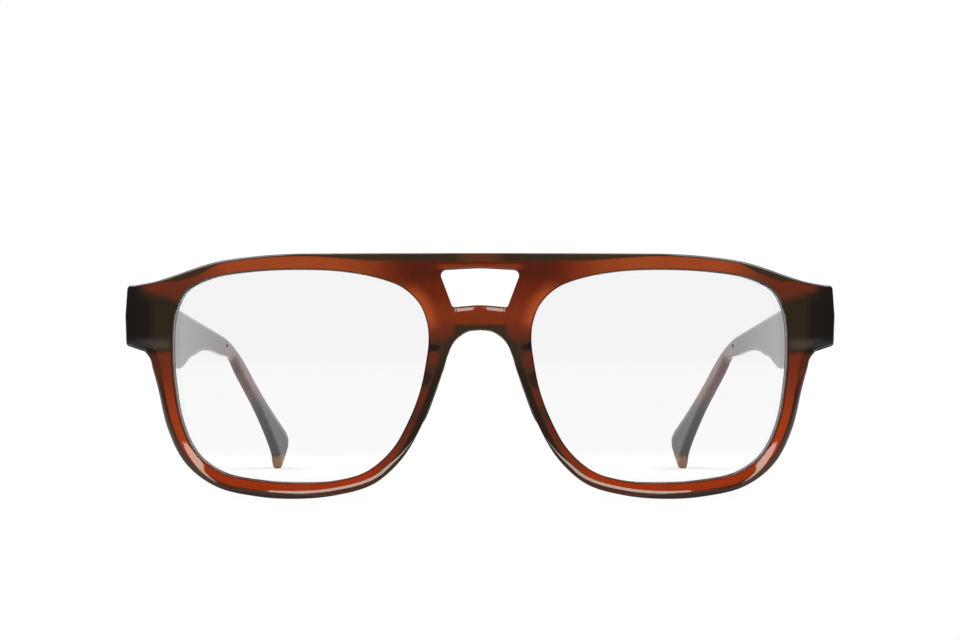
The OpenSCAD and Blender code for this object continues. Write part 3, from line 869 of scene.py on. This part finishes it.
def temple_finish(colours):
    """Dark tortoise of the temples, with painted light on their upper edges and shafts. Distances
    back are in millimetres from their middle.
    """
    f = acetate("temple_acetate")
    fine = f.noise(0.5, 4, 0.6, stretch=(1, 0.3, 1), shift=21.0, distortion=0.6) - 0.5
    cloud = f.noise(0.075, 3, 0.6, stretch=(1, 0.55, 1.6), shift=2.0, distortion=1.2) + fine * 0.3
    y, z = f.y + fine * 6, f.z + fine * 3
    f.tone = rgba(colours.dark)
    f.lay((fine * 0.8 + 0.3).clamped(), colours.olive)
    streak = cloud.between(0.5, 0.62) * (y.between(-10, 20) * 0.6 + 0.4) * y.between(-48, -30)
    f.lay((streak * y.between(46, 38)).clamped(), colours.maroon)
    # The drop behind the ear is warmer, and along its upper edge light coming through is painted
    # pale
    top = f.attribute("top")
    drop = z.between(15, 20) * z.between(33, 29) * f.y.between(4, 18)
    drop = drop * (fine + top * 0.3).between(0, 0.5)
    f.lay(drop, colours.red_brown)
    f.lay(drop * fine.between(-0.1, 0.15) * 0.7, colours.honey)
    # Painted light: pale where light comes through the upper edge, and a faint painted sheen on the
    # shaft near the hinge
    thin = top.between(2.4, 0.3) * f.y.between(25, 45) * 0.8
    f.lay(thin.largest(f.y.between(10, -30) * 0.12), colours.thin)
    # The very tip is light horn
    f.lay(z.between(3.7, 2.5) * f.y.between(50, 54) * 0.92, colours.horn)
    # A small dull fleck on the bend
    u, v = f.y - FLECK_Y, f.z - FLECK_Z
    fleck = (u * u * 0.2 + v * v).between(0.3, 0.08)
    return f.feed(
        Base_Color=f.tone,
        Roughness=f.polish + fleck * 0.7,
        Coat_Weight=(1 - fleck) * f.y.between(25, -35) * 0.7,
    )


def pad_finish(colours):
    f = acetate("pad_acetate")
    f.tone = rgba(colours.olive)
    f.lay(f.noise(0.3, 2, 0.5).between(0.35, 0.7), colours.maroon)
    return f.feed(Base_Color=f.tone)


def lens_finish(colours):
    """Clear demo lens, a very little grey."""
    tint = rgba(colours.lens)
    glass = Finish("demo_lens", Roughness=0.0, IOR=1.49, Transmission_Weight=1.0, Base_Color=tint)
    return glass.material


def metal_finish(name, colour, roughness):
    """Tumbled metal, worn unevenly."""
    f = Finish(name, Metallic=1.0)
    grain = f.noise(9.0, 3, 0.6)
    worn = f.noise(1.4, 2, 0.5, shift=3.0)
    f.tone = rgba(scaled(colour, 0.55))
    f.lay((worn * 0.3 + 0.8).clamped(), colour)
    return f.feed(
        Base_Color=f.tone,
        Roughness=grain * 0.16 + roughness,
        Normal=f.bump(grain, 0.2, 0.02 * MM),
    )


# ---- Pieces


def settings():
    scene = bpy.context.scene
    return scene.eyewear_shape, scene.eyewear_colours, scene.eyewear_studio


def outer_edge(loop, shape, share=1.0):
    """The front's outline with its rounding: rolled on the lower rims and the arch, crisp above."""
    x, z = np.abs(loop[:, 0]), loop[:, 1]
    rim, brow, end, arch = (
        v / MM for v in (shape.rim_round, shape.brow_round, shape.end_round, shape.arch_round)
    )
    # The brow's edge grows rounder towards the end pieces
    upper = brow * (1 + 2.2 * step_up(x, 34, 42))
    upper = upper + (end - upper) * step_up(x, 62, 66)
    # The rims roll widest along their bottoms, and run into the end pieces and the arch
    bottom = step_up(x, 15, 19) * (1 - step_up(x, 44, 52)) * (1 - step_up(z, 8, 13))
    lower = rim + bottom * BOTTOM_ROLL
    lower = lower + (end - lower) * step_up(z, 23, 28)
    lower = lower + (arch - lower) * (1 - step_up(x, 14, 22)) * step_up(z, 7, 13)
    under = (x < NOSE_HALF_W + 6) & (z < ARCH_Z + 1)
    width = np.where(under | (z < END_LOW + 2), lower, upper) * share
    return Edge(loop, width, np.interp(width, ROLL_WIDTHS, ROLL_DEPTHS))


def shade_band_width(points):
    """Width of the painted shade along the front's edge, in millimetres."""
    x, z = np.abs(points[:, 0]), points[:, 1]
    # Broad at the middle of the top and again at its shoulders, and along the lower rims broader
    # up the temple side than under the nose
    top = 1.5 - 0.95 * step_up(x, 20, 36) + 1.0 * step_up(x, 52, 57) - 1.1 * step_up(x, 60, 65)
    low = 1.35 + 0.5 * step_up(z, 20, 28) * step_up(x, 20, 40) - 0.4 * (1 - step_up(x, 3, 8))
    return low + (top - low) * step_up(z, 37, 41)


def sided(kind, side):
    """Name of the piece of that kind on the wearer's left or right."""
    return kind + ("left" if side > 0 else "right")


def rectangle(x0, x1, z0, z1):
    return even(np.array([(x0, z0), (x1, z0), (x1, z1), (x0, z1)], float), 1.0)


def hinge_pocket():
    """Outline of the left hinge plate's pocket in the back of the front."""
    turn = math.cos(HINGE_TURN), math.sin(HINGE_TURN)
    left = HINGE_X - (FRONT_PLATE_L + PLATE_FIT) * turn[0] + PIN_OFF * turn[1]
    right = HINGE_X + (BARREL_R + PLATE_FIT) * turn[0] + PIN_OFF * turn[1]
    half = HINGE_H / 2 + PLATE_FIT
    return rectangle(left, right, HINGE_Z - half, HINGE_Z + half)


def eye_row(growth, radius, side):
    """The lens opening's outline on the cylinder of that radius, anticlockwise from the front."""
    row = eye_at(grown(EYE_LINE, growth), radius)
    return row if side > 0 else (row * [-1, 1, 1])[::-1]


def crown_share(points):
    """1 in the lower corners of the front, whose face is crowned, and 0 away from them."""
    x, z = np.abs(points[:, 0]), points[:, 1]
    return step_up(x, 38, 52) * step_up(z, 0, 8) * (1 - step_up(z, 13, 30))


def sill_width(x, most):
    """Width of the bevel under the bridge window, which runs out at its ends."""
    return most * (1 - step_up(np.abs(x), SILL_FADE, SILL_END))


def sill_points(foot, sill, lip):
    """Rows of points down the bevel, which follow the window's foot."""
    x = np.arange(-SILL_REACH, SILL_REACH + 0.1, SILL_PITCH)
    x, share = np.meshgrid(x, SILL_ROWS)
    z = np.interp(x, *foot.T) - lip - share * np.maximum(sill_width(x, sill) - lip, 0.4)
    return np.stack([x.ravel(), z.ravel()], 1)


def build_front(shape, *materials):
    outline, window = front_outline(), window_outline()
    eye, sill = shape.eye_round / MM, shape.sill_round / MM
    lip = eye * LIP_WIDTH
    sides = (1, -1)
    foot = window[window[:, 1] < WINDOW_LOW + 0.05]
    foot = foot[np.argsort(foot[:, 0])]
    pocket = hinge_pocket()
    pockets = [pocket, anticlockwise(mirrored(pocket))]
    faces = {
        FRONT_R: Sheet(
            [outer_edge(outline, shape)]
            + [Edge(eye_row(0, FRONT_R - eye, s)[:, [0, 2]], eye) for s in sides]
            + [Edge(window, eye)],
            extra=sill_points(foot, sill, lip),
        ),
        BACK_R: Sheet(
            [outer_edge(outline, shape, BACK_SHARE)]
            + [Edge(eye_row(0, BACK_R + eye, s)[:, [0, 2]], eye) for s in sides]
            + [Edge(window, eye)]
            + [Edge(loop) for loop in pockets]
        ),
    }
    b = Builder()
    loops = []
    for radius, sheet in faces.items():
        x, z = sheet.points.T
        outer = sheet.spans[0][0]
        drop = sheet.drop()
        if radius == FRONT_R:
            fall = np.maximum(0, 1 - outer / CROWN_W) ** 2
            crown = shape.rim_crown / MM * crown_share(sheet.points) * fall
            below = np.interp(x, *foot.T) - z
            bevel = SILL_SLOPE * np.maximum(0, sill_width(x, sill) - below)
            bevel = bevel + LIP_SLOPE * np.maximum(0, lip - below)
            bevel = bevel * (below > -0.3) * (np.abs(x) < SILL_END)
            y = shell_y(x, radius) + (drop + crown + bevel)
        else:
            y = shell_y(x, radius) - drop
        # Distances that place the painted light and shade: from the outline, in widths of its
        # painted shade, and from the openings
        opening = np.minimum(sheet.spans[1][0], sheet.spans[2][0])
        edge = outer / shade_band_width(sheet.points)
        loops.append(b.sheet(sheet, np.stack([x, y, z], 1), edge=edge, eye=opening))
    front, back = loops
    b.strip(front[0], back[0])
    b.slot = 1
    b.strip(front[3], back[3])
    groove = [
        (0, MID_R + GROOVE_W / 2), (GROOVE_D, MID_R + GROOVE_W / 2),
        (GROOVE_D, MID_R - GROOVE_W / 2), (0, MID_R - GROOVE_W / 2),
    ]
    for i, side in enumerate(sides, 1):
        last = front[i]
        for growth, radius in groove:
            row = b.add(eye_row(growth, radius, side), edge=FAR)
            b.strip(last, row)
            last = row
        b.strip(last, back[i])
    for loop, ids in zip(pockets, back[4:]):
        x, z = loop.T
        floor = b.add(np.stack([x, shell_y(x, BACK_R + PLATE_T + PLATE_FIT), z], 1), edge=FAR)
        b.strip(ids, floor)
        b.face(floor)
    return b.piece("acetate_front", *materials)


def build_temple(side, shape, material):
    outline = leaned(TEMPLE_RAW, LEAN)
    butt_in, butt_out = (
        float(shell_y(x, BACK_R)) + BUTT_GAP - HINGE_Y
        for x in (inner_x(0.0), inner_x(0.0) + temple_thickness(0.0))
    )
    butt = (butt_in + butt_out) / 2

    def cut(a, b):
        """Where a straight that runs forward from the pin is cut off at the butt."""
        return a + (b - a) * (butt - a[0]) / (b[0] - a[0])

    ends = cut(outline[0], outline[1]), cut(outline[-1], outline[-2])
    loop = anticlockwise(even(np.vstack([ends[:1], outline[1:-1], ends[1:]])))
    y = loop[:, 0]
    full = np.minimum(shape.temple_round / MM, temple_thickness(y) / 2 - EDGE_FLAT)
    edge = Edge(loop, BUTT_ROUND + (full - BUTT_ROUND) * step_up(y, 0.5, 12))
    start = PIN_OFF * math.sin(TAPER) - PLATE_FIT * math.cos(TAPER)
    end = start + (TEMPLE_PLATE_L + 2 * PLATE_FIT) * math.cos(TAPER)
    half = HINGE_H / 2 + PLATE_FIT
    pocket = rectangle(start, end, -half, half)
    # The upper edge from the waist back, along which light coming through is painted
    upper = outline[outline[:, 0] > BEND_AT - 25]
    upper = upper[: np.argmax(upper[:, 0])]
    upper = np.vstack([upper, upper[-2:0:-1]])
    b = Builder()
    rims = []
    for inner in (True, False):
        sheet = Sheet([edge] + [Edge(pocket)] * inner)
        y, z = sheet.points.T
        drop = sheet.drop()
        x = inner_x(y) + drop if inner else inner_x(y) + temple_thickness(y) - drop
        y = y + ((butt_in if inner else butt_out) - butt) * (1 - step_up(y, butt, butt + 3))
        points = np.stack([side * x, HINGE_Y + y, HINGE_Z + z], 1)
        rims.append(b.sheet(sheet, points, top=edge_distance(sheet.points, upper)[0]))
    b.strip(rims[0][0], rims[1][0])
    y, z = pocket.T
    x = inner_x(y) + (PLATE_T + PLATE_FIT) / math.cos(TAPER)
    floor = b.add(np.stack([side * x, HINGE_Y + y, HINGE_Z + z], 1), top=FAR)
    b.strip(rims[0][1], floor)
    b.face(floor)
    return b.piece(sided("acetate_temple_", side), material)


def build_lens(side, material):
    b = Builder()
    front, back = MID_R + LENS_T / 2, MID_R - LENS_T / 2
    ridge_front, ridge_back = MID_R + GROOVE_W / 2 - LENS_FIT, MID_R - GROOVE_W / 2 + LENS_FIT
    inner, outer = -LENS_FIT, GROOVE_D - LENS_FIT
    ends = []
    for radius in (front, back):
        sheet = Sheet([Edge(eye_row(inner, radius, side)[:, [0, 2]])], 2.0)
        x, z = sheet.points.T
        ends.append(b.sheet(sheet, np.stack([x, shell_y(x, radius), z], 1))[0])
    ridge = ((inner, ridge_front), (outer, ridge_front), (outer, ridge_back), (inner, ridge_back))
    rows = [ends[0], *(b.add(eye_row(*row, side)) for row in ridge), ends[1]]
    for a, c in zip(rows, rows[1:]):
        b.strip(a, c)
    return b.piece(sided("clear_lens_", side), material)


def build_pad(side, material):
    """A smooth bonded pad: a long rounded foot that rises to a soft ridge."""
    half, foot = PAD_L / 2, PAD_W / 2
    across, along = 20, 40
    foot_x = EYE_IN + 0.1
    turn = math.asin(foot_x / BACK_R)
    origin = np.array([foot_x, FRONT_R - BACK_R * math.cos(turn), ARCH_Z - PAD_DROP])
    rows = []
    for k in range(1, along):
        # From one end to the other, with its sides straighter than an ellipse's
        s = -math.cos(math.pi * k / along)
        z = s * half
        width = foot * (1 - abs(s) ** 5) ** 0.45
        rise = min(step_up(z, -half, -0.2 * PAD_L), 1 - step_up(z, 0.1 * PAD_L, half))
        height = (PAD_FOOT + (PAD_D - PAD_FOOT) * float(rise)) * (1 - abs(s) ** 10)
        ring = []
        for q in range(across + 1):
            # Over the ridge from foot to foot, a little fuller than round
            a = math.pi * q / across
            cosine, sine = math.cos(a), math.sin(a)
            flare = 1 + PAD_FLARE * (1 - sine) ** 6
            u = math.copysign(abs(cosine) ** 0.8, cosine) * width * flare
            v = abs(sine) ** 0.8 * height
            ring.append((u + PAD_SPLAY * v / PAD_D, v, z))
        rows.append(ring)

    def put(points):
        """The points leaned along the nose, turned to the front's curve and set on its back."""
        x, y, z = np.array(points, float).T
        x, z = (
            x * math.cos(PAD_LEAN) - z * math.sin(PAD_LEAN),
            x * math.sin(PAD_LEAN) + z * math.cos(PAD_LEAN),
        )
        x, y = x * math.cos(turn) - y * math.sin(turn), x * math.sin(turn) + y * math.cos(turn)
        return (np.stack([x, y, z], 1) + origin) * [side, 1, 1]

    b = Builder()
    ids = [b.add(put(row)) for row in rows]
    for a, c in zip(ids, ids[1:]):
        b.strip(a, c)
    for end, ring in ((-half, ids[0]), (half, ids[-1])):
        point = b.add(put([(0, 0.1, end)]))[0]
        for i in range(len(ring)):
            b.face((ring[i], ring[(i + 1) % len(ring)], point))
    return b.piece(sided("bonded_pad_", side), material, sharp=50)


class EYEWEAR_OT_front(bpy.types.Operator):
    """Builds the polished acetate front"""

    bl_idname = "eyewear.front"
    bl_label = "Front"

    def execute(self, context):
        shape, colours, _ = settings()
        piece = build_front(shape, front_finish(colours), wall_finish(colours))
        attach(piece, "front_body")
        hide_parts("front")
        return {"FINISHED"}


class EYEWEAR_OT_pads(bpy.types.Operator):
    """Builds the two bonded nose pads"""

    bl_idname = "eyewear.pads"
    bl_label = "Nose pads"

    def execute(self, context):
        material = pad_finish(settings()[1])
        for name, side in SIDES.items():
            piece = build_pad(side, material)
            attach(piece, "front_body")
            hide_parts("nose_pad_" + name)
        return {"FINISHED"}


class EYEWEAR_OT_lenses(bpy.types.Operator):
    """Builds the two clear lenses with the ridges that sit in their grooves"""

    bl_idname = "eyewear.lenses"
    bl_label = "Lenses"

    def execute(self, context):
        material = lens_finish(settings()[1])
        for name, side in SIDES.items():
            piece = build_lens(side, material)
            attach(piece, "front_body")
            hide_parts("lens_" + name)
        return {"FINISHED"}


class EYEWEAR_OT_temples(bpy.types.Operator):
    """Builds the two temples"""

    bl_idname = "eyewear.temples"
    bl_label = "Temples"

    def execute(self, context):
        shape, colours, _ = settings()
        material = temple_finish(colours)
        for name, side in SIDES.items():
            piece = build_temple(side, shape, material)
            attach(piece, "temple_" + name + "_body")
            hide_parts("temple_" + name)
        return {"FINISHED"}


class EYEWEAR_OT_metal(bpy.types.Operator):
    """Softens the edges of the hinges and their screws and gives the metal its finish"""

    bl_idname = "eyewear.metal"
    bl_label = "Hinges and wires"

    def execute(self, context):
        colours = settings()[1]
        finishes = {
            "hinge": metal_finish("hinge_nickel", colours.nickel, 0.22),
            "screw": metal_finish("screw_steel", colours.steel, 0.16),
            "core": metal_finish("core_wire", colours.wire, 0.3),
        }
        for name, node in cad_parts.items():
            kind = "screw" if "screw" in name else name.split("_")[0]
            if kind not in finishes:
                continue
            node.data.materials.clear()
            node.data.materials.append(finishes[kind])
            weld = node.modifiers.new("Join faces", "WELD")
            weld.merge_threshold = 0.002 * MM
            soft = node.modifiers.new("Soft edges", "BEVEL")
            soft.width = 0.06 * MM
            soft.segments = 2
            soft.limit_method = "ANGLE"
            soft.angle_limit = math.radians(40)
            soft.harden_normals = False
        return {"FINISHED"}


# Soft boxes round the middle of the front: the direction of each from the camera's side in
# degrees round and up, its width and height in degrees, and its brightness. The low ones, which
# show as patches on the rims, are warm.
SOFT_BOXES = {
    "low_side": (57, -17, 11.5, 8, 8.2),
    "low_front": (0, -31, 56, 12, 9.0),
    "high_front": (20, 53, 16, 20, 8.0),
    "high_side": (82, 60, 34, 30, 4.5),
}
BOX_DISTANCE = 0.6
WARM = (1, 0.96, 0.82)
# Levels of grey: light from all round on the acetate, the dim room that gloss mirrors, and what
# the lenses show of the backdrop, a painted grey veil
FILL, ROOM, VEIL = 0.45, 0.05, 0.965
# Distance along the floor, in millimetres, at which the lamps' light on it is halved
FALL_OFF = 430


class EYEWEAR_OT_studio(bpy.types.Operator):
    """Makes the camera, the soft boxes, the floor and the white background"""

    bl_idname = "eyewear.studio"
    bl_label = "Studio"

    def execute(self, context):
        studio = settings()[2]
        scene = context.scene
        scene.view_settings.view_transform = "Standard"
        front_y = -DEPTH / 2 * MM
        camera = bpy.data.cameras.new("view")
        camera.sensor_width, camera.lens, camera.shift_y = 36, studio.focal, studio.shift
        camera.clip_start, camera.clip_end = 0.01, 60
        eye = bpy.data.objects.new("view", camera)
        eye.location = (0, front_y - studio.distance, studio.height)
        eye.rotation_euler = (math.pi / 2, 0, 0)
        scene.collection.objects.link(eye)
        scene.camera = eye
        build_world(studio)
        build_floor(studio, front_y)
        centre = Vector((0, front_y, 0.025))
        for name, row in SOFT_BOXES.items():
            for side in (-1, 1) if row[0] else (1,):
                soft_box(name, centre, side, *row)
        return {"FINISHED"}


def soft_box(name, centre, side, around, above, wide, high, brightness):
    a, e = math.radians(around) * side, math.radians(above)
    way = Vector((math.sin(a) * math.cos(e), -math.cos(a) * math.cos(e), math.sin(e)))
    lamp = bpy.data.lights.new(name, "AREA")
    lamp.shape = "RECTANGLE"
    lamp.size = 2 * BOX_DISTANCE * math.tan(math.radians(wide / 2))
    lamp.size_y = 2 * BOX_DISTANCE * math.tan(math.radians(high / 2))
    if above < 0:
        lamp.color = WARM
    lamp.energy = brightness * math.pi * lamp.size * lamp.size_y
    box = bpy.data.objects.new(name, lamp)
    box.location = centre + way * BOX_DISTANCE
    box.rotation_euler = (math.pi / 2 - e, 0, a)
    bpy.context.scene.collection.objects.link(box)


def seen_by(start, *rays):
    """1 for the kinds of ray named, by the light path's own order of them."""
    order = ("camera", "shadow", "diffuse", "glossy", "singular", "reflection", "transmission")
    seen = start.make("ShaderNodeLightPath", order.index(rays[0]))
    for ray in rays[1:]:
        seen = seen.largest(start.make("ShaderNodeLightPath", order.index(ray)))
    return seen


def build_world(studio):
    """White to the camera, and to gloss a white backdrop behind and a dim room in front."""
    world = bpy.data.worlds.new("studio")
    bpy.context.scene.world = world
    world.use_nodes = True
    tree = world.node_tree
    start = Value(tree, None)
    way = start.make("ShaderNodeTexCoord", 0)
    _, y, z = (start.make("ShaderNodeSeparateXYZ", i, Vector=way) for i in range(3))
    behind = (y.between(0.82, 0.95) * 0.75 + y.between(-0.05, 0.25) * 0.25) * z.between(0.7, 0.35)
    below = z.between(-0.35, -0.75)
    room = behind.largest(below * 0.1).mix(grey(ROOM), rgba(studio.floor))
    tone = seen_by(start, "glossy").mix(grey(FILL), room)
    # Through the lenses the backdrop is painted a little grey, as a veil
    tone = seen_by(start, "transmission").mix(tone, grey(VEIL))
    tone = seen_by(start, "camera").mix(tone, rgba(studio.floor))
    tree.links.new(tone.socket, tree.nodes["Background"].inputs["Color"])


def build_floor(studio, front_y):
    f = Finish("floor", Roughness=0.9, Specular_IOR_Level=0.0, Emission_Strength=1.0)
    near, far, wide = front_y + 0.001, 8.0, 4.0
    # Its own light is what the lamps leave wanting for white, which grows with the distance
    # from the object, and less of it is its own where the temples stand
    white = seen_by(f.start, "camera", "glossy", "transmission")
    depth = f.y.between(0, 50) * f.y.between(160, 110) * 0.4 + 0.12
    reach = (f.x * f.x + f.y * f.y) / FALL_OFF**2 + 1
    want = f.y.between(-20, -60) * 0.04 + 1.01 - depth * (0.38 + 0.76 / reach)
    # The rolled lower rims mirror little of the floor under them, and the far floor is painted a
    # little darker where it is seen through the lenses
    mirrored = 1 - seen_by(f.start, "glossy") * f.y.between(-45, -60) * 0.55
    painted_dimming = seen_by(f.start, "transmission") * f.y.between(1200, 7000) * 0.035
    f.feed(
        Base_Color=depth.mix(grey(0), rgba(studio.floor)),
        Emission_Color=(white * mirrored * want - painted_dimming).mix(grey(0), rgba(studio.floor)),
    )
    mesh = bpy.data.meshes.new("floor")
    corners = [(-wide, near, 0), (wide, near, 0), (wide, far, 0), (-wide, far, 0)]
    mesh.from_pydata(corners, [], [(0, 1, 2, 3)])
    mesh.materials.append(f.material)
    floor = bpy.data.objects.new("floor", mesh)
    bpy.context.scene.collection.objects.link(floor)


class EYEWEAR_PT_panel(bpy.types.Panel):
    """Lists the sizes, the colours and the builders"""

    bl_idname = "EYEWEAR_PT_panel"
    bl_label = "Eyeglass frame"
    bl_space_type = "VIEW_3D"
    bl_region_type = "UI"
    bl_category = "Eyewear"

    def draw(self, context):
        for group in settings():
            for key in group.__annotations__:
                self.layout.prop(group, key)
        for operator in OPERATORS:
            self.layout.operator(operator.bl_idname)


GROUPS = {
    "eyewear_shape": EyewearShape,
    "eyewear_colours": EyewearColours,
    "eyewear_studio": EyewearStudio,
}
OPERATORS = [
    EYEWEAR_OT_studio, EYEWEAR_OT_front, EYEWEAR_OT_pads, EYEWEAR_OT_lenses,
    EYEWEAR_OT_temples, EYEWEAR_OT_metal,
]


def register():
    for cls in (*GROUPS.values(), *OPERATORS, EYEWEAR_PT_panel):
        bpy.utils.register_class(cls)
    for key, group in GROUPS.items():
        setattr(bpy.types.Scene, key, bpy.props.PointerProperty(type=group))


def unregister():
    for key in GROUPS:
        delattr(bpy.types.Scene, key)
    for cls in (EYEWEAR_PT_panel, *reversed(OPERATORS), *GROUPS.values()):
        bpy.utils.unregister_class(cls)


def main():
    """Builds the stage and every piece."""
    register()
    for operator in OPERATORS:
        group, name = operator.bl_idname.split(".")
        getattr(getattr(bpy.ops, group), name)()


if __name__ == "__main__":
    main()
